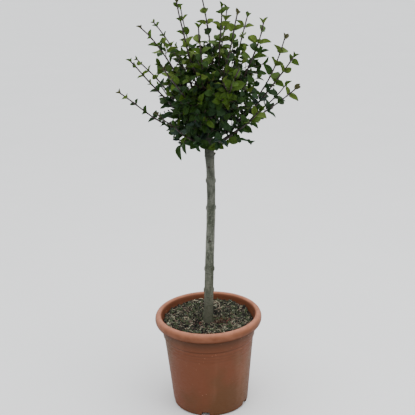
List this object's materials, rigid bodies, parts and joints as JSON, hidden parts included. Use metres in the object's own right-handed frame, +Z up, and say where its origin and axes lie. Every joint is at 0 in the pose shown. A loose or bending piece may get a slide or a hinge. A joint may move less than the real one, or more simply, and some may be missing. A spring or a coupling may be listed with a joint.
{
  "type": "potted lilac",
  "caption": "Lilac grown as a small standard tree: slim trunk, round leafy head with long outer shoots, in a round pot with a rolled rim.",
  "frame": {"origin": "middle of the pot's flat underside, which stands on the ground", "axes": "+Z up along the trunk, -Y towards the front of the picture, +X to its right"},
  "size_m": [0.4569, 0.3805, 1.0689],
  "materials": {
    "terracotta_plastic": "moulded terracotta-coloured plastic, satin, with light dust",
    "compost": "moist potting compost with moss and chopped straw on top",
    "bark": "grey-green bark with lenticels and bud scars",
    "shoot_bark": "brown young bark",
    "leaf_green": "smooth green leaves on brown twigs"
  },
  "bodies": {
    "root": {"bough_low_back_left": "shoot_bark", "bough_low_back_right": "shoot_bark", "bough_low_front_left": "shoot_bark", "bough_low_front_right": "shoot_bark", "bough_low_left": "shoot_bark", "bough_low_right": "shoot_bark", "bough_mid_back_left": "shoot_bark", "bough_mid_back_right": "shoot_bark", "bough_mid_front_left": "shoot_bark", "bough_mid_front_right": "shoot_bark", "bough_mid_left": "shoot_bark", "bough_mid_right": "shoot_bark", "bough_top": "shoot_bark", "compost": "compost", "foliage_low_back_left": "leaf_green", "foliage_low_back_right": "leaf_green", "foliage_low_front_left": "leaf_green", "foliage_low_front_right": "leaf_green", "foliage_low_left": "leaf_green", "foliage_low_right": "leaf_green", "foliage_mid_back_left": "leaf_green", "foliage_mid_back_right": "leaf_green", "foliage_mid_front_left": "leaf_green", "foliage_mid_front_right": "leaf_green", "foliage_mid_left": "leaf_green", "foliage_mid_right": "leaf_green", "foliage_top": "leaf_green", "pot": "terracotta_plastic", "trunk": "bark"}
  },
  "joints": []
}
